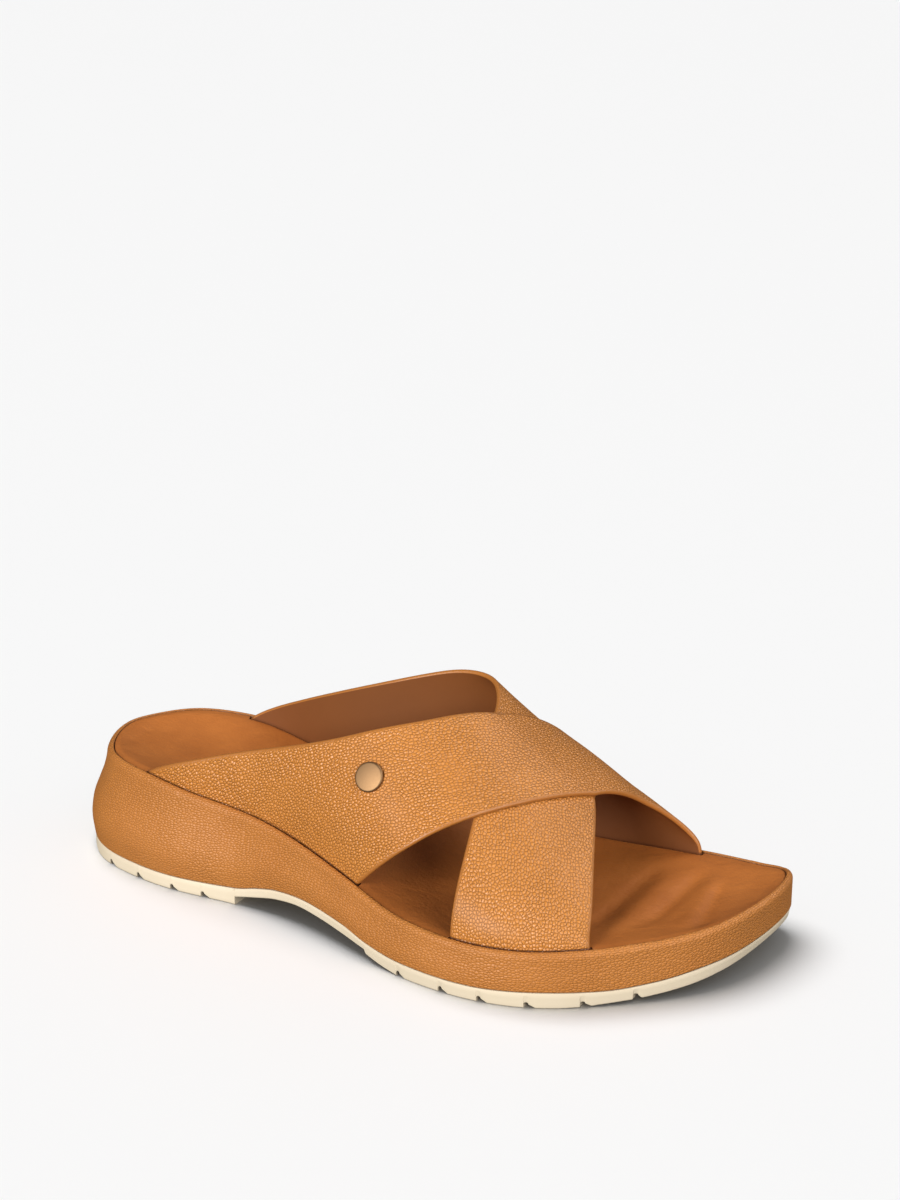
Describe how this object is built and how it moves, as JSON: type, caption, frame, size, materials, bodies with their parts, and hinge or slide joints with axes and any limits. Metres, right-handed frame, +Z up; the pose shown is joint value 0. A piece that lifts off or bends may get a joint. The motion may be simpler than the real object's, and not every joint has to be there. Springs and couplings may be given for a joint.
{
  "type": "cross strap sandal",
  "caption": "Slide sandal for the right foot: wide leather straps cross over the instep of a low wrapped wedge with a cupped footbed and a notched rubber tread.",
  "frame": {"origin": "middle of the sandal's box, on the floor under it", "axes": "+X from heel to toe, +Y to the medial (big toe) side, +Z up"},
  "size_m": [0.2571, 0.1013, 0.0749],
  "materials": {
    "outsole": "matte cream moulded rubber",
    "midsole": "tan leather cover, fine grain, satin",
    "insole": "smooth brown leather, matte",
    "upper": "tumbled full-grain tan leather, satin",
    "badge": "satin rose bronze"
  },
  "bodies": {
    "root": {"outsole": "outsole", "midsole": "midsole", "insole": "insole", "upper": "upper", "badge": "badge"}
  },
  "joints": []
}
